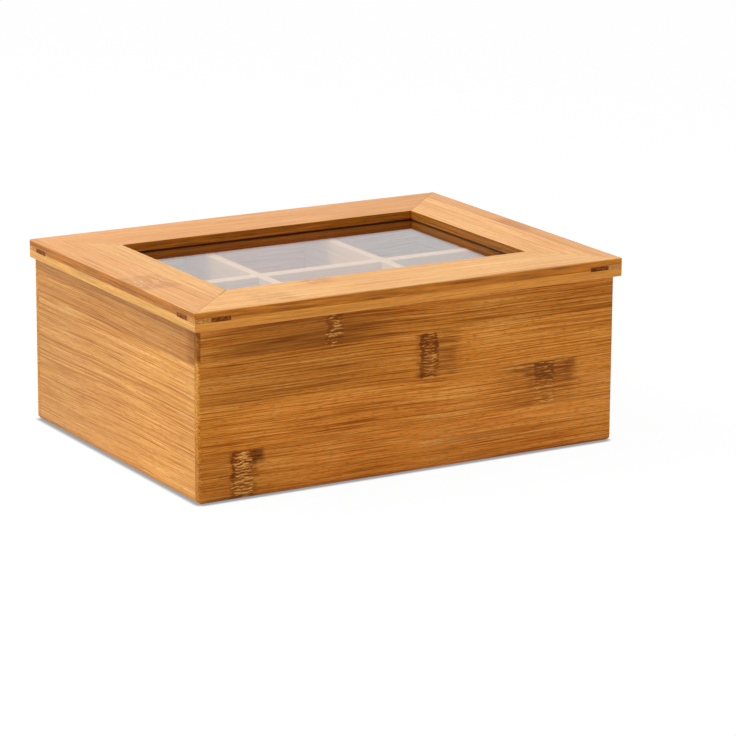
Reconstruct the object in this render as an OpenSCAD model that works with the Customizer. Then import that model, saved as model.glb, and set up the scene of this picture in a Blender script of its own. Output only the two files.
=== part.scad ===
// Hinged-lid organizer box with a divided inside and a window in the lid.
// The box is four rabbeted boards round a flush bottom and an egg-crate divider grid.
// The lid is a mitred frame with a key across each corner, grooved for a glass pane,
// and it turns on two small stop hinges let into the back edge.
// X runs along the front, +Y points to the hinges and +Z up.
// The origin is the centre of the base, on the surface that the box stands on.

/* [Box] */
// Outside width of the box, along the front
box_w = 210; // [170:1:320]
// Outside depth of the box, front to back
box_d = 160; // [130:1:260]
// Height of the box up to its rim
box_h = 76.5; // [50:0.5:140]
// Thickness of the four wall boards
wall_t = 12; // [11:0.5:16]
// Thickness of the lip that hides each side board's end
lip_t = 3.5; // [2.5:0.25:6]
// Thickness of the bottom panel
bottom_t = 4; // [3:0.5:6]
// How far the bottom panel reaches into the wall boards
bottom_seat = 6; // [3:0.5:8]
// Rounding of the upright outer edges
upright_r = 1.5; // [0.5:0.25:3]
// Rounding of the outer edges round the base
base_r = 3; // [1:0.25:5]

/* [Dividers] */
// Thickness of the divider that runs the length of the box
long_divider_t = 6; // [4:0.5:8]
// Thickness of the dividers that cross it
cross_divider_t = 4.5; // [3:0.5:8]
// Depth of the grooves in the walls that hold the dividers
divider_seat = 4; // [2:0.5:6]
// Distance from the rim down to the dividers' tops
divider_drop = 2.2; // [0.4:0.1:10]
// Slack on each side of a divider in its groove or notch
divider_fit = 0.1; // [0.05:0.05:0.3]

/* [Lid] */
// Thickness of the lid frame
lid_t = 8.5; // [8:0.5:14]
// Width of the four lid rails
rail_w = 31.5; // [24:0.5:45]
// How far the lid overhangs each side
side_overhang = 2.5; // [0:0.25:6]
// How far the lid overhangs the front
front_overhang = 2.5; // [0:0.25:8]
// Rounding of the lid's outer edges
lid_edge_r = 0.8; // [0.3:0.1:1.5]

/* [Window] */
// Thickness of the glass pane
pane_t = 2; // [2:0.25:3]
// Distance from the lid's top down to the pane
pane_drop = 4.4; // [3.5:0.1:4.8]
// Depth of the groove that holds the pane
pane_groove = 6; // [3:0.5:8]
// Slack round the pane's edge in its groove
pane_slack = 0.5; // [0.3:0.1:1]
// Slack over the pane's face in its groove
pane_fit = 0.1; // [0.05:0.05:0.3]

/* [Corner keys] */
// Thickness of the key across each mitre
key_t = 2; // [1.5:0.1:3.5]
// Distance from the lid's top down to the keys
key_drop = 2.8; // [1.5:0.1:3.5]
// Length of a key along each outer face of the lid
key_leg = 17; // [8:0.5:20]

/* [Hinges] */
// Distance from each side of the box to the middle of the hinge
hinge_inset = 40; // [25:1:55]
// Length of a hinge along its pin
leaf_len = 26; // [20:1:32]
// How far a hinge leaf reaches over the wood
leaf_reach = 8.5; // [7:0.5:10]
// Thickness of a hinge leaf
leaf_t = 1; // [0.8:0.1:1.2]
// Outer radius of the knuckles
knuckle_r = 2; // [1.8:0.1:2.5]
// Room left between the wood and the space that the knuckles turn in
knuckle_room = 0.05; // [0.02:0.01:0.2]
// Number of knuckles on a hinge, an odd number
knuckle_count = 5; // [3:2:7]
// Gap between neighbouring knuckles, and round a knuckle
knuckle_gap = 0.2; // [0.1:0.05:0.4]
// Radius of the hinge pin
pin_r = 1; // [0.8:0.1:1.2]
// Running clearance between the pin and its knuckles
pin_fit = 0.05; // [0.02:0.01:0.1]
// Thickness of the pin's two heads
pin_head_t = 0.6; // [0.4:0.1:1]
// Radius of the pin's heads where they meet the outer knuckles
pin_head_r = 1.5; // [1.3:0.1:1.8]
// Angle at which the lid stops
open_angle = 100; // [92:1:110]
// Play left between the stop lips at that angle, in degrees
stop_play = 0.5; // [0.3:0.1:1]
// How far the stop lips reach from the pin's axis
stop_reach = 4.8; // [4:0.1:6]

/* [Screws] */
// Length of a hinge screw
screw_len = 6.5; // [5:0.5:7]
// Radius of the screw's shank
screw_r = 0.9; // [0.7:0.05:1]
// Radius of the screw's countersunk head
screw_head_r = 1.7; // [1.5:0.1:2]
// Distance between the two screws of a leaf
screw_pitch = 16; // [12:1:20]
// Slack round a shank and under a screw's tip in its pilot hole
screw_fit = 0.05; // [0.02:0.01:0.1]

/* [Hidden] */
$fn = 48;

LEFT = -1;
RIGHT = 1;
FRONT = -1;
BACK = 1;

// Colours
face_tone = "#c98a4a";
side_tone = "#d9a05f";
lid_tone = "#e0ab72";
inside_tone = "#e2bd92";
key_tone = "#7a4420";
metal_tone = "#c2a14d";
glass_tone = [0.75, 0.78, 0.8, 0.35];

// Cuts that open through a face run past it by this much
past = 1;

inner_w = box_w - 2 * wall_t;
inner_d = box_d - 2 * wall_t;
// The two cross dividers part the width into three equal bays
bays = 3;
bay_w = (inner_w - (bays - 1) * cross_divider_t) / bays;
cross_divider_x = (bay_w + cross_divider_t) / 2;
divider_h = box_h - divider_drop - bottom_t;
notch_h = divider_h / 2;

lid_w = box_w + 2 * side_overhang;
lid_d = box_d + front_overhang;
lid_y = -front_overhang / 2;
window_w = lid_w - 2 * rail_w;
window_d = lid_d - 2 * rail_w;
pane_z = box_h + lid_t - pane_drop - pane_t;
key_z = box_h + lid_t - key_drop - key_t;

hinge_x = box_w / 2 - hinge_inset;
pin_setback = knuckle_r + knuckle_gap + knuckle_room;
hinge_y = box_d / 2 + pin_setback;
knuckle_pitch = leaf_len / knuckle_count;
stop_half = (open_angle + stop_play) / 2;
head_sink = 0.1;
head_h = min(screw_head_r - screw_r, leaf_t - head_sink);
point_r = screw_r / 4;
point_h = 1.5;
// The cross recess in a screw's head
recess_l = 1.3 * screw_head_r;
recess_w = 0.35;
recess_h = 0.5;

// ---- shared outlines ----

// Rectangle centred on the origin, with its four corners rounded
module rounded_rect(w, h, r) {
    square([w - 2 * r, h], center = true);
    square([w, h - 2 * r], center = true);
    for (x = [-1, 1], y = [-1, 1])
        translate([x * (w / 2 - r), y * (h / 2 - r)]) circle(r);
}

// Upright outline that stands on the origin, with its two lower corners rounded
module footed_rect(w, h, r) {
    translate([-w / 2, r]) square([w, h - r]);
    translate([-w / 2 + r, 0]) square([w - 2 * r, h]);
    for (x = [-1, 1]) translate([x * (w / 2 - r), r]) circle(r);
}

// Carries an outline drawn in X and Z through the depth, centred on Y
module through_depth(depth) {
    rotate([90, 0, 0]) translate([0, 0, -depth / 2]) linear_extrude(depth) children();
}

// Carries an outline drawn in Y and Z through the width, centred on X
module through_width(width) {
    rotate([90, 0, 90]) translate([0, 0, -width / 2]) linear_extrude(width) children();
}

// ---- box ----

// Outer form of the box, with its edges rounded
module box_form() {
    intersection() {
        linear_extrude(box_h) rounded_rect(box_w, box_d, upright_r);
        through_depth(box_d) footed_rect(box_w, box_h, base_r);
        through_width(box_w) footed_rect(box_d, box_h, base_r);
    }
}

// Room that a side board takes between the lips of the front and back boards.
// As a cut it runs over the end, the rim and the base.
module side_room(side, over = 0) {
    translate([side * (box_w - wall_t + over) / 2, 0, box_h / 2])
        cube([wall_t + over, box_d - 2 * lip_t, box_h + 2 * over], center = true);
}

// Room that the bottom panel takes
module bottom_room(over = 0) {
    w = inner_w + 2 * bottom_seat;
    d = inner_d + 2 * bottom_seat;
    translate([-w / 2, -d / 2, -over]) cube([w, d, bottom_t + over]);
}

// Room that a divider takes, from the bottom panel to a height above it
module long_divider_room(slack, h) {
    l = inner_w + 2 * (divider_seat - divider_fit + slack);
    t = long_divider_t + 2 * slack;
    translate([-l / 2, -t / 2, bottom_t]) cube([l, t, h]);
}

module cross_divider_room(side, slack, h) {
    l = inner_d + 2 * (divider_seat - divider_fit + slack);
    t = cross_divider_t + 2 * slack;
    translate([side * cross_divider_x - t / 2, -l / 2, bottom_t]) cube([t, l, h]);
}

// What every wall board gives up to the bottom and the dividers
module wall_cuts() {
    bottom_room(over = past);
    long_divider_room(divider_fit, box_h);
    for (side = [LEFT, RIGHT]) cross_divider_room(side, divider_fit, box_h);
}

// Front or back board: full width, its ends rabbeted for the side boards
module end_board(end) {
    difference() {
        intersection() {
            translate([0, end * (box_d - wall_t) / 2, box_h / 2])
                cube([box_w, wall_t, box_h], center = true);
            box_form();
        }
        for (side = [LEFT, RIGHT]) side_room(side, over = past);
        wall_cuts();
    }
}

module side_board(side) {
    difference() {
        intersection() {
            side_room(side);
            box_form();
        }
        wall_cuts();
    }
}

module front_board() {
    color(face_tone) end_board(FRONT);
}

module back_board() {
    color(face_tone) difference() {
        end_board(BACK);
        for (side = [LEFT, RIGHT]) at_hinge(side) leaf_cuts();
    }
}

module left_board() {
    color(side_tone) side_board(LEFT);
}

module right_board() {
    color(side_tone) side_board(RIGHT);
}

module bottom_panel() {
    color(inside_tone) bottom_room();
}

// The long divider is notched from above, the crossing ones from below
module long_divider() {
    color(inside_tone) difference() {
        long_divider_room(0, divider_h);
        for (side = [LEFT, RIGHT])
            translate([0, 0, notch_h]) cross_divider_room(side, divider_fit, divider_h);
    }
}

module cross_divider(side) {
    color(inside_tone) difference() {
        cross_divider_room(side, 0, divider_h);
        translate([0, 0, notch_h - divider_h]) long_divider_room(divider_fit, divider_h);
    }
}

module left_cross_divider() {
    cross_divider(LEFT);
}

module right_cross_divider() {
    cross_divider(RIGHT);
}

// ---- lid ----

// Outer form of the lid, with its edges rounded
module lid_form() {
    translate([0, lid_y, box_h + lid_t / 2]) intersection() {
        translate([0, 0, -lid_t / 2]) linear_extrude(lid_t) rounded_rect(lid_w, lid_d, lid_edge_r);
        through_depth(lid_d) rounded_rect(lid_w, lid_t, lid_edge_r);
        through_width(lid_w) rounded_rect(lid_d, lid_t, lid_edge_r);
    }
}

// Rail outline, mitred at both ends: its outer edge lies on X
module rail_outline(l) {
    polygon([[-l / 2, 0], [l / 2, 0], [l / 2 - rail_w, rail_w], [rail_w - l / 2, rail_w]]);
}

// A rail of length l, turned so that its outer edge faces away from the lid's middle
module rail(x, y, turn, l) {
    difference() {
        intersection() {
            translate([x, y, box_h]) rotate(turn) linear_extrude(lid_t) rail_outline(l);
            lid_form();
        }
        pane_room();
        for (side = [LEFT, RIGHT], end = [FRONT, BACK]) key_room(side, end);
    }
}

// Groove round the window
module pane_room() {
    w = window_w + 2 * pane_groove;
    d = window_d + 2 * pane_groove;
    translate([-w / 2, lid_y - d / 2, pane_z]) cube([w, d, pane_t + pane_fit]);
}

// Slot across the mitre at one corner of the lid
module key_room(side, end) {
    translate([side * lid_w / 2, lid_y + end * lid_d / 2, key_z])
        linear_extrude(key_t)
            polygon([[0, 0], [-side * key_leg, 0], [0, -end * key_leg]]);
}

module lid_front_rail() {
    color(lid_tone) rail(0, lid_y - lid_d / 2, 0, lid_w);
}

module lid_back_rail() {
    color(lid_tone) difference() {
        rail(0, lid_y + lid_d / 2, 180, lid_w);
        for (side = [LEFT, RIGHT]) at_hinge(side) mirror([0, 0, 1]) leaf_cuts();
    }
}

module lid_left_rail() {
    color(lid_tone) rail(-lid_w / 2, lid_y, -90, lid_d);
}

module lid_right_rail() {
    color(lid_tone) rail(lid_w / 2, lid_y, 90, lid_d);
}

module key(side, end) {
    color(key_tone) intersection() {
        key_room(side, end);
        lid_form();
    }
}

module front_left_key() {
    key(LEFT, FRONT);
}

module front_right_key() {
    key(RIGHT, FRONT);
}

module back_left_key() {
    key(LEFT, BACK);
}

module back_right_key() {
    key(RIGHT, BACK);
}

module window_pane() {
    w = window_w + 2 * (pane_groove - pane_slack);
    d = window_d + 2 * (pane_groove - pane_slack);
    color(glass_tone) translate([-w / 2, lid_y - d / 2, pane_z]) cube([w, d, pane_t]);
}

// ---- hinges ----
// A hinge is drawn about its pin: X along the pin, -Y over the wood, z = 0 at the seam.
// The box leaf lies under the seam. The lid leaf is its mirror image above the seam.

module at_hinge(side) {
    translate([side * hinge_x, hinge_y, box_h]) children();
}

module along_pin(r, l) {
    rotate([0, 90, 0]) cylinder(r = r, h = l, center = true);
}

module at_screws() {
    for (x = [-1, 1])
        translate([x * screw_pitch / 2, -pin_setback - leaf_reach / 2, 0]) children();
}

// Own knuckles of a leaf: every second one, starting with the first or the second
module at_knuckles(first) {
    for (i = [first:2:knuckle_count - 1])
        translate([(i + 0.5) * knuckle_pitch - leaf_len / 2, 0, 0]) children();
}

module leaf(first) {
    knuckle_l = knuckle_pitch - knuckle_gap;
    web_l = knuckle_l - 2 * knuckle_gap;
    clear_r = knuckle_r + knuckle_gap;
    ring_r = (knuckle_r + pin_r + pin_fit) / 2;
    difference() {
        union() {
            translate([-leaf_len / 2, -pin_setback - leaf_reach, -leaf_t])
                cube([leaf_len, leaf_reach + pin_setback - clear_r, leaf_t]);
            at_knuckles(first) along_pin(knuckle_r, knuckle_l);
            at_knuckles(first) translate([-web_l / 2, -clear_r - past, -leaf_t])
                cube([web_l, clear_r + past - ring_r, leaf_t]);
            rotate([-stop_half, 0, 0]) {
                translate([-leaf_len / 2, clear_r, -leaf_t])
                    cube([leaf_len, stop_reach - clear_r, leaf_t]);
                at_knuckles(first) translate([-web_l / 2, ring_r, -leaf_t])
                    cube([web_l, clear_r + past - ring_r, leaf_t]);
            }
        }
        along_pin(pin_r + pin_fit, leaf_len + 2 * past);
        at_screws() screw_hole();
    }
}

// Countersunk hole in a leaf, from the seam down
module screw_hole() {
    translate([0, 0, -head_sink - head_h]) cylinder(r1 = screw_r, r2 = screw_head_r, h = head_h);
    translate([0, 0, -head_sink]) cylinder(r = screw_head_r, h = past);
    translate([0, 0, -leaf_t - past]) cylinder(r = screw_r + screw_fit, h = leaf_t + past);
}

// Pocket for a leaf and pilot holes for its screws, cut in the wood under the seam
module leaf_cuts() {
    translate([-leaf_len / 2, -pin_setback - leaf_reach, -leaf_t])
        cube([leaf_len, leaf_reach + pin_setback, leaf_t + past]);
    at_screws() translate([0, 0, -head_sink - screw_len - screw_fit])
        cylinder(r = screw_r + screw_fit, h = screw_len);
}

module screw() {
    translate([0, 0, -head_sink]) difference() {
        union() {
            translate([0, 0, -head_h]) cylinder(r1 = screw_r, r2 = screw_head_r, h = head_h);
            translate([0, 0, point_h - screw_len])
                cylinder(r = screw_r, h = screw_len - point_h - head_h);
            translate([0, 0, -screw_len]) cylinder(r1 = point_r, r2 = screw_r, h = point_h);
        }
        for (turn = [0, 90]) rotate(turn)
            cube([recess_l, recess_w, 2 * recess_h], center = true);
    }
}

module box_leaf(side) {
    color(metal_tone) at_hinge(side) leaf(0);
}

module lid_leaf(side) {
    color(metal_tone) at_hinge(side) mirror([0, 0, 1]) leaf(1);
}

module hinge_pin(side) {
    color(metal_tone) at_hinge(side) {
        along_pin(pin_r, leaf_len);
        for (end = [0, 180]) rotate([0, 0, end]) translate([leaf_len / 2, 0, 0])
            rotate([0, 90, 0]) cylinder(r1 = pin_head_r, r2 = pin_r, h = pin_head_t);
    }
}

module left_hinge_box_leaf() {
    box_leaf(LEFT);
}

module left_hinge_lid_leaf() {
    lid_leaf(LEFT);
}

module left_hinge_pin() {
    hinge_pin(LEFT);
}

module right_hinge_box_leaf() {
    box_leaf(RIGHT);
}

module right_hinge_lid_leaf() {
    lid_leaf(RIGHT);
}

module right_hinge_pin() {
    hinge_pin(RIGHT);
}

module box_leaf_screws() {
    color(metal_tone) for (side = [LEFT, RIGHT]) at_hinge(side) at_screws() screw();
}

module lid_leaf_screws() {
    color(metal_tone) for (side = [LEFT, RIGHT])
        at_hinge(side) mirror([0, 0, 1]) at_screws() screw();
}

front_board();
back_board();
left_board();
right_board();
bottom_panel();
long_divider();
left_cross_divider();
right_cross_divider();
lid_front_rail();
lid_back_rail();
lid_left_rail();
lid_right_rail();
front_left_key();
front_right_key();
back_left_key();
back_right_key();
window_pane();
left_hinge_box_leaf();
left_hinge_lid_leaf();
left_hinge_pin();
right_hinge_box_leaf();
right_hinge_lid_leaf();
right_hinge_pin();
box_leaf_screws();
lid_leaf_screws();
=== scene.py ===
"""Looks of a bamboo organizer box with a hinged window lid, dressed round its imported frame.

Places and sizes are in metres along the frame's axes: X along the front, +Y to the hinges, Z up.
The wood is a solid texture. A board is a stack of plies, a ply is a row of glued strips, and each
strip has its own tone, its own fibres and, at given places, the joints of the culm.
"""

import math

import bpy
from mathutils import Matrix, Vector


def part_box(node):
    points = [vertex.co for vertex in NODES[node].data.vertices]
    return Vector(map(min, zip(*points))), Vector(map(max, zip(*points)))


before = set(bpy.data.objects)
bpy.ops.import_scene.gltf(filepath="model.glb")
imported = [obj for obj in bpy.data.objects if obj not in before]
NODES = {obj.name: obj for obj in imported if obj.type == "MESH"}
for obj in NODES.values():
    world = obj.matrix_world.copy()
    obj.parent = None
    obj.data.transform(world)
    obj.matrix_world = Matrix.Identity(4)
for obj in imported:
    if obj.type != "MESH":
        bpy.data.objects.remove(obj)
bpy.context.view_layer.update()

MM = 0.001

# ---- places in the frame ----

LID_FRONT_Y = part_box("lid_front_rail")[0].y
LID_BACK_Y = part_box("lid_back_rail")[1].y
LID_SIDE_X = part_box("lid_right_rail")[1].x
LID_TOP_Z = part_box("lid_back_rail")[1].z
WINDOW_SIDE_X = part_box("lid_right_rail")[0].x
WINDOW_FRONT_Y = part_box("lid_front_rail")[1].y
WINDOW_BACK_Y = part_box("lid_back_rail")[0].y
PANE_LOW_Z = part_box("window_pane")[0].z
PANE_TOP_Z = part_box("window_pane")[1].z
PANE_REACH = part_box("window_pane")[1].x - WINDOW_SIDE_X


# ---- colours and shader nodes ----


def srgb(red, green, blue):
    """A colour given as 0 to 255 on a screen, as the linear colour that a shader takes."""
    linear = []
    for value in (red / 255, green / 255, blue / 255):
        linear.append(value / 12.92 if value <= 0.04045 else ((value + 0.055) / 1.055) ** 2.4)
    return (*linear, 1.0)


class Graph:
    """The nodes of one material or world. Its methods add a node and give its output socket."""

    def __init__(self, owner):
        owner.use_nodes = True
        self.owner = owner
        self.tree = owner.node_tree
        self.tree.nodes.clear()

    def node(self, kind, inputs=None, **settings):
        made = self.tree.nodes.new("ShaderNode" + kind)
        for name, value in settings.items():
            setattr(made, name, value)
        for name, value in (inputs or {}).items():
            self.feed(made.inputs[name], value)
        return made

    def feed(self, socket, value):
        if isinstance(value, bpy.types.NodeSocket):
            self.tree.links.new(value, socket)
        else:
            socket.default_value = value

    def math(self, operation, a, b=0.0):
        return self.node("Math", {0: a, 1: b}, operation=operation).outputs[0]

    def times(self, *values):
        product = values[0]
        for value in values[1:]:
            product = self.math("MULTIPLY", product, value)
        return product

    def ramp(self, value, low, high, at_low=0.0, at_high=1.0):
        """Runs smoothly from at_low to at_high while value runs from low to high."""
        inputs = {"Value": value, "From Min": low, "From Max": high, "To Min": at_low, "To Max": at_high}
        return self.node("MapRange", inputs, interpolation_type="SMOOTHSTEP").outputs[0]

    def band(self, value, start, end, soft):
        """One where value is between start and end, with soft edges inside that span."""
        rise = self.ramp(value, start, start + soft)
        fall = self.ramp(value, end - soft, end, 1.0, 0.0)
        return self.times(rise, fall)

    def mix(self, factor, a, b, mode="MIX"):
        made = self.node("Mix", data_type="RGBA", blend_type=mode)
        self.feed(made.inputs[0], factor)
        self.feed(made.inputs[6], a)
        self.feed(made.inputs[7], b)
        return made.outputs[2]

    def noise(self, vector, scales, detail=2.0, roughness=0.5):
        stretched = self.node("VectorMath", {0: vector, 1: scales}, operation="MULTIPLY").outputs[0]
        inputs = {"Vector": stretched, "Scale": 1.0, "Detail": detail, "Roughness": roughness}
        return self.node("TexNoise", inputs).outputs[0]

    def surface(self, shader, kind="Material"):
        self.node("Output" + kind, {"Surface": shader})
        return self.owner


# ---- bamboo ----


class Wood:
    """Colours of one group of boards, and how strongly their grain shows."""

    def __init__(self, body, dark, pale, contrast=1.0, gloss=0.2, end_tint=(1.0, 1.0, 1.0)):
        self.body = body
        self.dark = dark
        self.pale = pale
        self.contrast = contrast
        self.gloss = gloss
        self.end_tint = end_tint


FACE_WOOD = Wood(
    body=srgb(232, 145, 50),
    dark=srgb(158, 82, 13),
    pale=srgb(250, 182, 92),
    contrast=1.4,
    gloss=0.08,
    end_tint=(0.94, 1.1, 1.28),
)
SIDE_WOOD = Wood(srgb(226, 160, 82), srgb(174, 104, 38), srgb(244, 190, 118), contrast=1.1, gloss=0.15)
LID_WOOD = Wood(srgb(236, 172, 99), srgb(198, 127, 63), srgb(250, 201, 139), contrast=1.0, gloss=0.2)
DIVIDER_WOOD = Wood(srgb(250, 198, 138), srgb(214, 155, 94), srgb(255, 214, 160), contrast=0.8, gloss=0.2)
INSIDE_WOOD = Wood(srgb(232, 169, 107), srgb(198, 131, 74), srgb(242, 191, 133), contrast=0.8, gloss=0.2)

KNOT_DARK = srgb(112, 50, 10)
KNOT_PALE = srgb(255, 190, 104)
SOFT_KNOT = srgb(140, 72, 26)
FADE_TINT = (0.48, 0.41, 0.33)
# the brown of the mitres' joint lines, and of the painted shade along the pane's groove
JOINT_AND_SHADE_BROWN = srgb(66, 26, 2)

STRIP_W = 20.2 * MM
WIDE_STRIP_W = 24 * MM
GLUE_LINE_W = 0.12 * MM
PLY_T = 4.4 * MM
PLY_SHIFT = 0.43  # of a strip's width, from one ply to the next
FACE_MARGIN = 0.3 * MM  # how far outside a board's face its first ply starts
FIBRE_STEP = 1.35 * MM  # from one torn fibre of a culm's joint to the next
WAVER_REACH = 7 * MM  # the most that the grain could waver to and fro
STRIP_SEED = 7.31
PLY_SEED = 3.17

# Scales of the noises, per metre along the grain, across the strips and through the plies.
WAVER = (8.0, 8.0, 8.0)
FINE_GRAIN = (20.0, 1500.0, 1500.0)
BROAD_GRAIN = (4.0, 130.0, 130.0)
CLOUDS = (14.0, 14.0, 14.0)
LONG_LINES = (12.0, 1500.0, 1500.0)
FLECKS = (260.0, 2300.0, 2300.0)
PATCH_STREAKS = (12.0, 420.0, 420.0)
CULM_STREAKS = (70.0, 700.0, 700.0)
CULM_JITTER = (260.0, 260.0, 260.0)
TORN_FIBRES = (210.0, 850.0, 850.0)


class Patch:
    """A stretch of a board that tint lightens or darkens: u along the grain, v across it."""

    def __init__(self, u, v, tint, soft=8 * MM):
        self.u = u
        self.v = v
        self.tint = tint
        self.soft = soft


class Culm:
    """A joint of the culm across one strip: a band of broken fibres that fades out along the grain.

    at is its place along the grain, width its size there, and v the strip. before and after are how
    far the tint called fade reaches on either side of it. heavy is how dark the band is and pale how
    bright its torn fibres are, each at the strip's low and high side. rims are the shares of its
    width that the dark columns at its start and end take. dark and light are its fibres' colours.
    """

    def __init__(
        self,
        at,
        v,
        width,
        before,
        after,
        heavy,
        pale,
        rims=(0.32, 0.2),
        dark=KNOT_DARK,
        light=KNOT_PALE,
        fade=FADE_TINT,
    ):
        self.at = at
        self.v = v
        self.width = width
        self.before = before
        self.after = after
        self.heavy = heavy
        self.pale = pale
        self.rims = rims
        self.dark = dark
        self.light = light
        self.fade = fade


class Grain:
    """Coordinates in a board: u along the grain, v across the strips, w through the plies.

    The first ply starts at ply_start and the others follow it in the direction inward, 1 or -1.
    vector is those coordinates with the grain wavering a little, and shifted in each strip.
    """

    def __init__(self, graph, axes, strip_start, ply_start, inward, strip_w):
        place = graph.node("TexCoord").outputs["Object"]
        split = graph.node("SeparateXYZ", {0: place})
        self.place = place
        self.u, self.v, self.w = (split.outputs["XYZ".index(axis)] for axis in axes)
        plies = graph.math("DIVIDE", graph.math("SUBTRACT", self.w, ply_start), inward * PLY_T)
        self.ply = graph.math("FLOOR", plies)
        self.in_first_ply = graph.math("LESS_THAN", graph.math("ABSOLUTE", self.ply), 0.5)
        shifted = graph.math("SUBTRACT", self.v, strip_start)
        strips = graph.math("ADD", graph.math("DIVIDE", shifted, strip_w), graph.times(self.ply, PLY_SHIFT))
        self.strip = graph.math("FLOOR", strips)
        self.across = graph.math("SUBTRACT", strips, self.strip)
        seed = graph.math("ADD", graph.times(self.strip, STRIP_SEED), graph.times(self.ply, PLY_SEED))
        self.random = graph.node("TexWhiteNoise", {"W": seed}, noise_dimensions="1D").outputs["Color"]
        waver = graph.noise(place, WAVER, detail=1.0)
        bend = graph.times(graph.math("SUBTRACT", waver, 0.5), WAVER_REACH)
        inputs = {0: graph.math("ADD", self.u, seed), 1: graph.math("ADD", self.v, bend), 2: self.w}
        self.vector = graph.node("CombineXYZ", inputs).outputs[0]


def add_patch(graph, grain, colour, patch):
    """Tints the wood in one place, in streaks and softly bounded along the grain."""
    across = graph.band(grain.v, patch.v[0], patch.v[1], 0.6 * MM)
    along = graph.band(grain.u, patch.u[0], patch.u[1], patch.soft)
    streaks = graph.ramp(graph.noise(grain.vector, PATCH_STREAKS, detail=2.0), 0.3, 0.62, 0.5, 1.0)
    share = graph.times(across, along, streaks, grain.in_first_ply)
    return graph.mix(share, colour, (*patch.tint, 1.0), "MULTIPLY")


def add_culm(graph, grain, colour, culm):
    """Lays one joint of the culm over the wood's colour, as short fibres stacked across the strip."""
    low, high = culm.v
    lower = low + 0.25 * (high - low)
    upper = low + 0.75 * (high - low)
    heavy = graph.ramp(grain.v, lower, upper, *culm.heavy)
    pale = graph.ramp(grain.v, lower, upper, *culm.pale)
    jitter = graph.math("SUBTRACT", graph.noise(grain.vector, CULM_JITTER, detail=2.0), 0.5)
    strip = graph.band(graph.math("ADD", grain.v, graph.times(jitter, 2 * MM)), low, high, 0.6 * MM)
    strip = graph.times(strip, grain.in_first_ply)
    stack = graph.math("ADD", grain.v, graph.times(jitter, 3.2 * MM))
    teeth = graph.math("SINE", graph.times(stack, 2 * math.pi / FIBRE_STEP))
    ragged = graph.math("ADD", graph.times(teeth, 0.35 * MM), graph.times(jitter, 4 * MM))
    u = graph.math("ADD", grain.u, ragged)
    fade = graph.times(strip, culm_fade(graph, grain, culm, u), heavy)
    colour = graph.mix(fade, colour, (*culm.fade, 1.0), "MULTIPLY")
    fibres = culm_fibres(graph, grain, culm, u, teeth, heavy, pale)
    inside = graph.times(strip, graph.band(u, culm.at, culm.at + culm.width, 0.9 * MM))
    colour = graph.mix(graph.times(inside, graph.ramp(fibres, 0.53, 0.36), heavy), colour, culm.dark)
    return graph.mix(graph.times(inside, graph.ramp(fibres, 0.54, 0.66), pale), colour, culm.light)


def culm_fade(graph, grain, culm, u):
    """How strongly the wood along the grain from a culm's joint is tinted, in streaks."""
    end = culm.at + culm.width
    streaks = graph.ramp(graph.noise(grain.vector, CULM_STREAKS, detail=3.0), 0.36, 0.6, 0.2, 1.0)
    rise = graph.ramp(grain.u, culm.at - culm.before, culm.at)
    fall = graph.ramp(u, end + 0.45 * culm.after, end + culm.after, 1.0, 0.0)
    return graph.times(rise, fall, streaks)


def culm_fibres(graph, grain, culm, u, teeth, heavy, pale):
    """Low where a culm's joint is dark, as in the columns at its two rims, and high where it is torn."""
    end = culm.at + culm.width
    start_rim, end_rim = (share * culm.width for share in culm.rims)
    first = graph.band(u, culm.at, culm.at + start_rim, 0.7 * MM)
    last = graph.band(u, end - end_rim, end, 0.7 * MM)
    torn = graph.noise(grain.vector, TORN_FIBRES, detail=2.0, roughness=0.6)
    lean = graph.times(graph.math("SUBTRACT", pale, heavy), 0.12)
    fibres = graph.math("ADD", graph.math("ADD", torn, graph.times(teeth, 0.09)), lean)
    columns = graph.math("ADD", graph.times(first, 0.16), graph.times(last, 0.09))
    return graph.math("SUBTRACT", fibres, graph.times(columns, heavy))


def wood_tone(graph, grain, wood, fine):
    """How dark or pale the plain wood is, about 0.5: fine fibres, broad bands, clouds and strips."""
    broad = graph.noise(grain.vector, BROAD_GRAIN, detail=2.0)
    clouds = graph.noise(grain.place, CLOUDS, detail=2.0)
    random = graph.node("SeparateColor", {0: grain.random})
    tone = 0.5
    for source, share in ((fine, 1.5), (broad, 0.2), (clouds, 0.3)):
        part = graph.times(graph.math("SUBTRACT", source, 0.5), share * wood.contrast)
        tone = graph.math("ADD", tone, part)
    spread = graph.times(graph.math("SUBTRACT", random.outputs[0], 0.5), 0.12)
    return graph.math("ADD", tone, spread)


def dark_fibres(graph, grain):
    """How strongly the long fine dark lines and the short flecks of the wood show."""
    lines = graph.ramp(graph.noise(grain.vector, LONG_LINES, detail=1.0), 0.54, 0.66)
    flecks = graph.ramp(graph.noise(grain.vector, FLECKS, detail=1.0), 0.53, 0.69)
    return graph.math("MAXIMUM", graph.times(lines, 0.8), graph.times(flecks, 0.7))


def glue_lines(graph, grain):
    """One where a strip meets the next."""
    rim = graph.math("ABSOLUTE", graph.math("SUBTRACT", grain.across, 0.5))
    return graph.ramp(rim, 0.5 - GLUE_LINE_W / STRIP_W, 0.5)


def end_faces(graph, axis):
    """One on the faces that cut straight across a grain that runs along axis."""
    normal = graph.node("SeparateXYZ", {0: graph.node("TexCoord").outputs["Normal"]})
    return graph.ramp(graph.math("ABSOLUTE", normal.outputs["XYZ".index(axis)]), 0.7, 0.9)


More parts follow.
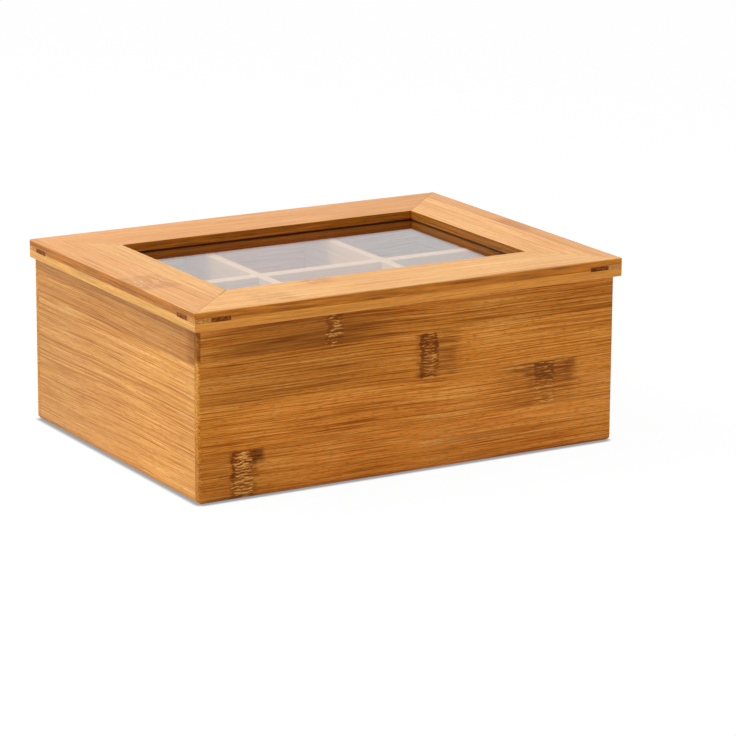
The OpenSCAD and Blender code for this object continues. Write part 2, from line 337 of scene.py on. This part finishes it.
def bamboo(
    name,
    wood,
    axes,
    strip_start,
    ply_start,
    inward=1,
    strip_w=STRIP_W,
    patches=(),
    culms=(),
    sawn=None,
):
    """Solid bamboo, with its grain along axes[0] and its strips side by side along axes[1].

    The plies are stacked along axes[2], and the patches and culms lie in the first one. sawn gives
    the colours of the upright faces of a lid rail, in its upper and in its lower ply.
    """
    graph = Graph(bpy.data.materials.new(name))
    grain = Grain(graph, axes, strip_start, ply_start, inward, strip_w)
    fine = graph.noise(grain.vector, FINE_GRAIN, detail=3.0, roughness=0.72)
    tone = wood_tone(graph, grain, wood, fine)
    colour = graph.mix(graph.ramp(tone, 0.1, 0.52), wood.dark, wood.body)
    colour = graph.mix(graph.ramp(tone, 0.5, 0.85), colour, wood.pale)
    for patch in patches:
        colour = add_patch(graph, grain, colour, patch)
    for culm in culms:
        colour = add_culm(graph, grain, colour, culm)
    if sawn:
        colour = add_sawn_faces(graph, grain, colour, sawn, graph.ramp(tone, 0.15, 0.8))
    fleck = dark_fibres(graph, grain)
    colour = graph.mix(graph.times(fleck, 0.5 * wood.contrast), colour, wood.dark)
    if sawn:
        colour = add_mitre_lines_and_pane_shade(graph, grain, colour)
    colour = graph.mix(end_faces(graph, axes[0]), colour, (*wood.end_tint, 1.0), "MULTIPLY")
    colour = graph.mix(graph.times(glue_lines(graph, grain), 0.3), colour, wood.dark)
    relief = graph.math("SUBTRACT", fine, graph.times(fleck, 0.5))
    bump = graph.node("Bump", {"Height": relief, "Strength": 0.15, "Distance": 0.1 * MM})
    inputs = {
        "Base Color": colour,
        "Roughness": graph.ramp(fine, 0.2, 0.8, 0.52, 0.38),
        "Specular IOR Level": wood.gloss,
        "Normal": bump.outputs[0],
    }
    return graph.surface(graph.node("BsdfPrincipled", inputs).outputs[0])


# ---- the rails' upright faces with painted shade round the window, the mitre lines and the painted shade along the pane ----

LID_SEAM_Z = LID_TOP_Z - 4.3 * MM  # where the rails' upper ply ends
SEAM_SOFT = 0.15 * MM
UPPER_SPREAD = (0.42, 1.6)  # of a sawn face's colour, at its darkest and at its palest
LOWER_SPREAD = (0.66, 1.26)
SAWN_MOTTLE = (45.0, 800.0, 800.0)
GROOVE_MARGIN = 0.5 * MM
PANE_SHADE_PAST = (0.4 * MM, 0.65 * MM)  # how far the painted shade band reaches below and above the pane
MITRE_LINE_RIMS = (0.35 * MM, 0.1 * MM)  # from the mitre to where its line starts and is full
MITRE_GAP_ENDS = (9 * MM, 5 * MM)  # from the window to where the gap starts and is full


def shaded(colour, factor):
    """A colour made darker or brighter by a factor."""
    return tuple(factor * part for part in colour[:3]) + (1.0,)


def upright_faces(graph):
    """One on faces that stand upright, and zero on those that look up or down."""
    normal = graph.node("TexCoord").outputs["Normal"]
    up = graph.math("ABSOLUTE", graph.node("SeparateXYZ", {0: normal}).outputs[2])
    return graph.ramp(up, 0.7, 0.3)


def past_window(graph, place):
    """How far a place lies outside the window's outline in x and in y; below zero is inside it."""
    split = graph.node("SeparateXYZ", {0: place})
    middle = (WINDOW_FRONT_Y + WINDOW_BACK_Y) / 2
    past_x = graph.math("SUBTRACT", graph.math("ABSOLUTE", split.outputs[0]), WINDOW_SIDE_X)
    off_middle = graph.math("ABSOLUTE", graph.math("SUBTRACT", split.outputs[1], middle))
    return past_x, graph.math("SUBTRACT", off_middle, WINDOW_BACK_Y - middle)


def window_faces(graph, place):
    """One on the rails' inner faces, which look at each other across the window, and in the groove."""
    past = graph.math("MAXIMUM", *past_window(graph, place))
    return graph.math("LESS_THAN", past, PANE_REACH + GROOVE_MARGIN)


def add_sawn_faces(graph, grain, colour, sawn, tone):
    """A lid rail's upright faces are not like its top: the upper ply is dark and the lower one pale. Round
    the window the lower ply is dark too, as painted shade in the window's recess.
    """
    upper_colour, lower_colour = sawn
    mottle = graph.noise(grain.vector, SAWN_MOTTLE, detail=4.0, roughness=0.7)
    uneven = graph.math("ADD", graph.times(tone, 0.6), graph.ramp(mottle, 0.35, 0.66, 0.0, 0.4))
    upper = graph.mix(uneven, *(shaded(upper_colour, factor) for factor in UPPER_SPREAD))
    lower = graph.mix(uneven, *(shaded(lower_colour, factor) for factor in LOWER_SPREAD))
    is_upper = graph.ramp(grain.w, LID_SEAM_Z - SEAM_SOFT, LID_SEAM_Z + SEAM_SOFT)
    # painted shade: round the window the lower ply also takes the dark colour, for the shade in the
    # window's recess and under the pane
    dark_ply_or_painted_shade = graph.math("MAXIMUM", is_upper, window_faces(graph, grain.place))
    return graph.mix(upright_faces(graph), colour, graph.mix(dark_ply_or_painted_shade, lower, upper))


def add_mitre_lines_and_pane_shade(graph, grain, colour):
    """Fine lines: a band of painted shade where the rails' inner faces meet the pane, over the groove and
    its lit lower lip, and dark joint lines along the mitres.

    The front left mitre gapes a little next to the window.
    """
    below, above = PANE_SHADE_PAST
    # painted shade: a dark band on the window faces across the groove, from just below the pane to just
    # above it, where the groove's mouth is shaded
    line = graph.band(grain.w, PANE_LOW_Z - below, PANE_TOP_Z + above, 0.25 * MM)
    line = graph.times(line, window_faces(graph, grain.place))
    past_x, past_y = past_window(graph, grain.place)
    aside = graph.math("ABSOLUTE", graph.math("SUBTRACT", past_x, past_y))
    split = graph.node("SeparateXYZ", {0: grain.place})
    at_left = graph.math("LESS_THAN", split.outputs[0], 0.0)
    at_front = graph.math("LESS_THAN", split.outputs[1], 0.0)
    gaping = graph.times(at_left, at_front, graph.ramp(past_x, *MITRE_GAP_ENDS))
    mitre = graph.times(graph.ramp(aside, *MITRE_LINE_RIMS), graph.ramp(gaping, 0.0, 1.0, 0.2, 0.9))
    return graph.mix(graph.math("MAXIMUM", graph.times(line, 0.9), mitre), colour, JOINT_AND_SHADE_BROWN)


# ---- box ----


def dress(names, material):
    """Gives the named nodes one material."""
    for name in names:
        mesh = NODES[name].data
        mesh.materials.clear()
        mesh.materials.append(material)


def faint_culms(*places):
    """Culm joints that hardly show, each given as its place along the grain and its strip."""
    culms = []
    for at, strip in places:
        culms.append(
            Culm(at, strip, 9 * MM, 8 * MM, 12 * MM, heavy=(0.4, 0.5), pale=(0.4, 0.3), dark=SOFT_KNOT)
        )
    return culms


def strips_up(start):
    """The four strips of an upright board from its base up. The outer two run on past its edges."""
    below, above = -2 * MM, 80 * MM
    edges = [start + count * STRIP_W for count in (1, 2, 3)]
    return list(zip([below, *edges], [*edges, above]))


def front_culms(low, second, third, top):
    """The four joints that show on the front board, one on each strip."""
    return (
        Culm(
            -43.5 * MM, top, 9 * MM, before=5 * MM, after=14 * MM,
            heavy=(0.6, 0.7), pale=(0.82, 0.64), fade=(0.9, 0.86, 0.82),
        ),
        Culm(
            3.5 * MM, third, 9.5 * MM, before=3 * MM, after=14 * MM,
            heavy=(0.75, 0.9), pale=(0.7, 0.3),
        ),
        Culm(
            62.5 * MM, second, 12 * MM, before=24 * MM, after=14 * MM,
            heavy=(0.3, 1.0), pale=(0.6, 0.1), rims=(0.0, 0.0),
            fade=(0.34, 0.26, 0.18), dark=srgb(134, 72, 22),
        ),
        Culm(
            -90 * MM, low, 11 * MM, before=1 * MM, after=3 * MM,
            heavy=(0.7, 0.9), pale=(1.0, 1.0), rims=(0.2, 0.0),
        ),
    )


def front_patches(low, second, third, top):
    """The tones of the front board's strips, and two smudges beside the joint on the lowest one."""
    under_seam = low[1]
    smudge = (0.2, 0.15, 0.12)
    return (
        Patch((-106 * MM, 106 * MM), top, (0.88, 0.86, 0.85), soft=1 * MM),
        Patch((-112 * MM, 0 * MM), top, (0.58, 0.55, 0.54), soft=36 * MM),
        Patch((-120 * MM, -88 * MM), low, (0.72, 0.68, 0.66), soft=4 * MM),
        Patch((-125 * MM, 0 * MM), third, (0.8, 0.77, 0.76), soft=40 * MM),
        Patch((0 * MM, 130 * MM), third, (1.08, 1.05, 1.08), soft=40 * MM),
        Patch((-100 * MM, 130 * MM), second, (1.12, 1.1, 1.22), soft=24 * MM),
        Patch((-80 * MM, 160 * MM), low, (1.18, 1.12, 1.18), soft=30 * MM),
        Patch((-82 * MM, -72 * MM), (14.5 * MM, under_seam), smudge, soft=3 * MM),
        Patch((-81 * MM, -73 * MM), (16.5 * MM, under_seam), smudge, soft=3 * MM),
        Patch((-112 * MM, -103.6 * MM), top, (0.45, 0.38, 0.34), soft=0.5 * MM),
    )


def dress_front_and_back():
    start = 1.5 * MM
    strips = strips_up(start)
    low, second, third, top = strips
    front = bamboo(
        "bamboo_front",
        FACE_WOOD,
        "XZY",
        strip_start=start,
        ply_start=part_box("front_board")[0].y - FACE_MARGIN,
        patches=front_patches(*strips),
        culms=front_culms(*strips),
    )
    back = bamboo(
        "bamboo_back",
        FACE_WOOD,
        "XZY",
        strip_start=start,
        ply_start=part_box("back_board")[1].y + FACE_MARGIN,
        inward=-1,
        culms=faint_culms((-78 * MM, second), (-22 * MM, top), (18 * MM, low), (71 * MM, third)),
    )
    dress(["front_board"], front)
    dress(["back_board"], back)


def left_patches(start):
    """The left board's top strip is darker, most of all at the front, and the rest dims to the back. The
    top strip's darkening is partly strip tone and partly painted shade under the lid's overhang.
    """
    low, *_, top = strips_up(start)
    under_top = (low[0], top[0])
    return (
        # painted shade, partly: the whole top strip darkened, for the shade under the lid's overhang on top
        # of the rendered shadow
        Patch((-90 * MM, 90 * MM), top, (0.82, 0.78, 0.76), soft=1 * MM),
        Patch((-92 * MM, -66 * MM), top, (0.64, 0.48, 0.16), soft=9 * MM),
        Patch((-110 * MM, 10 * MM), under_top, (1.15, 1.16, 1.06), soft=50 * MM),
        Patch((5 * MM, 120 * MM), under_top, (0.86, 0.88, 0.94), soft=50 * MM),
    )


def dress_sides():
    left_start = 0.1 * MM
    right_start = 0.5 * MM
    _, second, third, _ = strips_up(right_start)
    left = bamboo(
        "bamboo_left",
        SIDE_WOOD,
        "YZX",
        strip_start=left_start,
        ply_start=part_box("left_board")[0].x - FACE_MARGIN,
        patches=left_patches(left_start),
    )
    right = bamboo(
        "bamboo_right",
        SIDE_WOOD,
        "YZX",
        strip_start=right_start,
        ply_start=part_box("right_board")[1].x + FACE_MARGIN,
        inward=-1,
        culms=faint_culms((-38 * MM, second), (44 * MM, third)),
    )
    dress(["left_board"], left)
    dress(["right_board"], right)


def dress_inside():
    panel_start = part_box("bottom_panel")[0].z - FACE_MARGIN
    panel = bamboo("bamboo_bottom", INSIDE_WOOD, "XYZ", 5 * MM, panel_start)
    along = bamboo("bamboo_long_divider", DIVIDER_WOOD, "XZY", 3 * MM, -10 * MM)
    cross = bamboo("bamboo_cross_dividers", DIVIDER_WOOD, "YZX", 9 * MM, -40 * MM)
    dress(["bottom_panel"], panel)
    dress(["long_divider"], along)
    dress(["left_cross_divider", "right_cross_divider"], cross)


# ---- lid ----

WHOLE_X = (-120 * MM, 120 * MM)
WHOLE_Y = (-95 * MM, 95 * MM)
LEFT_OUTER = (-120 * MM, -88 * MM)
RIGHT_OUTER = (98.5 * MM, 120 * MM)

PINK_TINT = (0.9, 0.84, 0.86)
LONG_RAIL_SAWN = (srgb(206, 121, 21), srgb(242, 159, 61))
SIDE_RAIL_SAWN = (srgb(178, 108, 25), srgb(236, 176, 90))

KEY_SPECKLE = (900.0, 900.0, 1500.0)
KEY_SPECKLE_REACH = 1.5 * MM
KEY_PALE_ENDS = (7.0 * MM, 8.0 * MM)  # from the corner to where a key starts to darken and is dark


def lid_culm(at, strip, width, before, after, heavy, pale):
    """A joint on the lid's top, where it is paler and pinker than on the box."""
    knot = srgb(198, 120, 68)
    glint = srgb(250, 200, 140)
    return Culm(at, strip, width, before, after, heavy, pale, dark=knot, light=glint)


def dress_long_rails():
    front = bamboo(
        "bamboo_lid_front",
        LID_WOOD,
        "XYZ",
        strip_start=-79.5 * MM,
        ply_start=LID_SEAM_Z,
        patches=(Patch(WHOLE_X, (-95 * MM, -40 * MM), (1.06, 1.14, 1.2)),),
        culms=(
            lid_culm(-73 * MM, (-79 * MM, -63 * MM), 11 * MM, 4 * MM, 8 * MM, (0.4, 0.3), (0.5, 0.4)),
            lid_culm(-39 * MM, (-60 * MM, -50 * MM), 9 * MM, 3 * MM, 4 * MM, (0.4, 0.5), (0.4, 0.4)),
        ),
        sawn=LONG_RAIL_SAWN,
    )
    back = bamboo(
        "bamboo_lid_back",
        LID_WOOD,
        "XYZ",
        strip_start=60 * MM,
        ply_start=LID_SEAM_Z,
        patches=(Patch(WHOLE_X, (40 * MM, 90 * MM), PINK_TINT),),
        sawn=LONG_RAIL_SAWN,
    )
    dress(["lid_front_rail"], front)
    dress(["lid_back_rail"], back)


def dress_side_rails():
    left = bamboo(
        "bamboo_lid_left",
        LID_WOOD,
        "YXZ",
        strip_start=LEFT_OUTER[1],
        ply_start=LID_SEAM_Z,
        patches=(
            Patch(WHOLE_Y, LEFT_OUTER, PINK_TINT),
            Patch(WHOLE_Y, (LEFT_OUTER[1], -60 * MM), (0.95, 1.02, 1.06)),
        ),
        culms=(lid_culm(-33 * MM, LEFT_OUTER, 17 * MM, 4 * MM, 8 * MM, (0.5, 0.4), (0.6, 0.5)),),
        sawn=SIDE_RAIL_SAWN,
    )
    right = bamboo(
        "bamboo_lid_right",
        LID_WOOD,
        "YXZ",
        strip_start=RIGHT_OUTER[0],
        ply_start=LID_SEAM_Z,
        strip_w=WIDE_STRIP_W,
        patches=(
            Patch(WHOLE_Y, (60 * MM, RIGHT_OUTER[0]), (1.13, 1.18, 1.26)),
            Patch(WHOLE_Y, RIGHT_OUTER, (0.94, 0.88, 0.9)),
            Patch((-20 * MM, 18 * MM), RIGHT_OUTER, (0.76, 0.62, 0.55), soft=12 * MM),
        ),
        sawn=SIDE_RAIL_SAWN,
    )
    dress(["lid_left_rail"], left)
    dress(["lid_right_rail"], right)


def key_wood():
    """The keys are pale and speckled next to the corner, and dark further in."""
    graph = Graph(bpy.data.materials.new("bamboo_keys"))
    place = graph.node("TexCoord").outputs["Object"]
    split = graph.node("SeparateXYZ", {0: place})
    middle = (LID_FRONT_Y + LID_BACK_Y) / 2
    from_side = graph.math("SUBTRACT", LID_SIDE_X, graph.math("ABSOLUTE", split.outputs[0]))
    off_middle = graph.math("ABSOLUTE", graph.math("SUBTRACT", split.outputs[1], middle))
    from_end = graph.math("SUBTRACT", LID_BACK_Y - middle, off_middle)
    inward = graph.math("ADD", from_side, from_end)
    speckle = graph.noise(place, KEY_SPECKLE, detail=2.0)
    inward = graph.math("ADD", inward, graph.times(graph.math("SUBTRACT", speckle, 0.5), KEY_SPECKLE_REACH))
    pale = graph.mix(graph.ramp(speckle, 0.38, 0.62), srgb(190, 124, 60), srgb(228, 162, 88))
    dark = graph.mix(graph.ramp(speckle, 0.35, 0.65), srgb(104, 48, 12), srgb(156, 88, 34))
    inputs = {
        "Base Color": graph.mix(graph.ramp(inward, *KEY_PALE_ENDS), pale, dark),
        "Roughness": graph.ramp(speckle, 0.3, 0.7, 0.5, 0.4),
        "Specular IOR Level": 0.08,
    }
    return graph.surface(graph.node("BsdfPrincipled", inputs).outputs[0])


def dress_keys():
    dress(["front_left_key", "front_right_key", "back_left_key", "back_right_key"], key_wood())


# ---- glass and metal ----

BRUSHING = (120.0, 5200.0, 5200.0)
STAINS = (180.0, 180.0, 180.0)


def glass():
    """A clear pane. Lamps and bounced light pass straight through, so what is under it is lit."""
    graph = Graph(bpy.data.materials.new("window_glass"))
    inputs = {"Base Color": srgb(247, 249, 250), "Roughness": 0.0, "IOR": 1.5, "Transmission Weight": 1.0}
    clear = graph.node("BsdfPrincipled", inputs).outputs[0]
    open_to_light = graph.node("BsdfTransparent", {"Color": srgb(240, 242, 243)}).outputs[0]
    path = graph.node("LightPath").outputs
    lets_by = graph.math("MAXIMUM", path["Is Shadow Ray"], path["Is Diffuse Ray"])
    return graph.surface(graph.node("MixShader", {0: lets_by, 1: clear, 2: open_to_light}).outputs[0])


def brass():
    """Brass with fine brushing along the hinge."""
    graph = Graph(bpy.data.materials.new("hinge_brass"))
    place = graph.node("TexCoord").outputs["Object"]
    brushed = graph.noise(place, BRUSHING, detail=2.0)
    stain = graph.noise(place, STAINS, detail=3.0)
    colour = graph.mix(graph.ramp(stain, 0.35, 0.7), srgb(206, 167, 96), srgb(184, 143, 76))
    bump = graph.node("Bump", {"Height": brushed, "Strength": 0.15, "Distance": 0.05 * MM})
    inputs = {
        "Base Color": colour,
        "Metallic": 1.0,
        "Roughness": graph.ramp(brushed, 0.3, 0.7, 0.42, 0.54),
        "Normal": bump.outputs[0],
    }
    return graph.surface(graph.node("BsdfPrincipled", inputs).outputs[0])


def is_metal(name):
    """Whether a node is a hinge's leaf or pin, or its screws."""
    return "hinge" in name or "screws" in name


def dress_fittings():
    dress(["window_pane"], glass())
    dress([name for name in NODES if is_metal(name)], brass())


# ---- edges ----

BOX_EDGE_W = 0.2 * MM
LID_EDGE_W = 0.12 * MM
METAL_EDGE_W = 0.08 * MM
EDGE_SEGMENTS = 2
SHARP_ANGLE = math.radians(40)
FLAT_ANGLE = math.radians(0.5)
WELD_REACH = 0.001 * MM


def soften(name, width):
    """Breaks the sharp edges of a rigid piece, as sanding does.

    Its triangles are joined first, so that only true edges are left to break.
    """
    piece = NODES[name]
    weld = piece.modifiers.new("join_faces", "WELD")
    weld.merge_threshold = WELD_REACH
    flat = piece.modifiers.new("clean_faces", "DECIMATE")
    flat.decimate_type = "DISSOLVE"
    flat.angle_limit = FLAT_ANGLE
    bevel = piece.modifiers.new("broken_edges", "BEVEL")
    bevel.width = width
    bevel.segments = EDGE_SEGMENTS
    bevel.limit_method = "ANGLE"
    bevel.angle_limit = SHARP_ANGLE
    bevel.harden_normals = True


def edge_width(name):
    """How far a piece's edges are broken: the boards' most, and the metal's least."""
    if is_metal(name):
        return METAL_EDGE_W
    if name.startswith("lid_"):
        return LID_EDGE_W
    return BOX_EDGE_W


def soften_all():
    """Breaks the edges of all pieces but the pane and the keys, which end flush in their slots."""
    for name in NODES:
        if name == "window_pane" or "key" in name:
            continue
        soften(name, edge_width(name))


# ---- camera, light and floor ----

CAMERA_AZIMUTH = math.radians(-30.393)
CAMERA_ELEVATION = math.radians(14.68)
CAMERA_ROLL = math.radians(0.314)
CAMERA_DISTANCE = 1656.2 * MM
CAMERA_TARGET = Vector((23.8 * MM, -1.25 * MM, 26.2 * MM))
CAMERA_LENS_MM = 177.03

WHITE = (1.0, 1.0, 1.0, 1.0)
AMBIENT_LEVEL = 0.5
LAMP_LEVEL = 0.66
LAMP_DIRECTION = Vector((-0.455, 0.24, 0.857)).normalized()
LAMP_DISTANCE = 1.3
LAMP_SIZE = 0.6
FLOOR_SIZE = 12.0
FLOOR_SEEN_WHITE = 0.96
CONTACT_REACH = 3 * MM  # how near the object the floor's white is dimmed, as painted contact shadow
CONTACT_DARK = 0.35
CONTACT_WHITE = 1.01


def add_camera():
    """Looks at CAMERA_TARGET from the front left. An azimuth of 0 would look along +Y."""
    azimuth, elevation, roll = CAMERA_AZIMUTH, CAMERA_ELEVATION, CAMERA_ROLL
    level = math.cos(elevation)
    back = Vector((math.sin(azimuth) * level, -math.cos(azimuth) * level, math.sin(elevation)))
    right = Vector((math.cos(azimuth), math.sin(azimuth), 0.0))
    up = back.cross(right)
    rolled_right = math.cos(roll) * right + math.sin(roll) * up
    rolled_up = math.cos(roll) * up - math.sin(roll) * right
    camera = bpy.data.objects.new("camera", bpy.data.cameras.new("camera"))
    camera.data.lens = CAMERA_LENS_MM
    camera.data.clip_end = 50.0
    turn = Matrix((rolled_right, rolled_up, back)).transposed().to_4x4()
    camera.matrix_world = Matrix.Translation(CAMERA_TARGET + back * CAMERA_DISTANCE) @ turn
    bpy.context.scene.collection.objects.link(camera)
    bpy.context.scene.camera = camera


def seen(graph):
    """One for rays from the camera, and for what shows in gloss and through glass."""
    path = graph.node("LightPath").outputs
    mirrored = graph.math("MAXIMUM", path["Is Glossy Ray"], path["Is Transmission Ray"])
    return graph.math("MAXIMUM", path["Is Camera Ray"], mirrored)


def add_world():
    """White to the eye, and a plain even light of AMBIENT_LEVEL on the object."""
    graph = Graph(bpy.data.worlds.new("studio"))
    soft = graph.node("Background", {"Color": WHITE, "Strength": AMBIENT_LEVEL}).outputs[0]
    white = graph.node("Background", {"Color": WHITE, "Strength": 1.0}).outputs[0]
    shown = graph.node("MixShader", {0: seen(graph), 1: soft, 2: white}).outputs[0]
    bpy.context.scene.world = graph.surface(shown, "World")


def add_lamp():
    """A soft lamp above the left side. LAMP_LEVEL is how bright it alone makes white that faces it."""
    lamp = bpy.data.lights.new("key", "AREA")
    lamp.shape = "SQUARE"
    lamp.size = LAMP_SIZE
    lamp.energy = LAMP_LEVEL * (math.pi * LAMP_DISTANCE) ** 2
    holder = bpy.data.objects.new("key", lamp)
    holder.location = LAMP_DIRECTION * LAMP_DISTANCE
    holder.rotation_euler = LAMP_DIRECTION.to_track_quat("Z", "Y").to_euler()
    bpy.context.scene.collection.objects.link(holder)


def add_floor():
    """A pale floor that the camera sees as white. Near the object ambient occlusion dims the white, a
    painted contact shadow; the lamp's shadow is left on it only faintly.
    """
    graph = Graph(bpy.data.materials.new("floor"))
    pale = graph.node("BsdfDiffuse", {"Color": srgb(240, 240, 240)}).outputs[0]
    # painted contact shadow: ambient occlusion near the object dims the floor's white glow
    near = graph.node("AmbientOcclusion", {"Distance": CONTACT_REACH}, samples=8).outputs["AO"]
    painted_contact_shade = graph.ramp(near, 0.4, 1.0, CONTACT_DARK, CONTACT_WHITE)
    white = graph.node("Emission", {"Color": WHITE, "Strength": painted_contact_shade}).outputs[0]
    share = graph.times(seen(graph), FLOOR_SEEN_WHITE)
    material = graph.surface(graph.node("MixShader", {0: share, 1: pale, 2: white}).outputs[0])
    half = FLOOR_SIZE / 2
    mesh = bpy.data.meshes.new("floor")
    corners = [(-half, -half, 0), (half, -half, 0), (half, half, 0), (-half, half, 0)]
    mesh.from_pydata(corners, [], [(0, 1, 2, 3)])
    mesh.materials.append(material)
    floor = bpy.data.objects.new("floor", mesh)
    bpy.context.scene.collection.objects.link(floor)


bpy.context.scene.view_settings.view_transform = "Standard"
add_camera()
add_world()
add_lamp()
add_floor()
dress_front_and_back()
dress_sides()
dress_inside()
dress_long_rails()
dress_side_rails()
dress_keys()
dress_fittings()
soften_all()
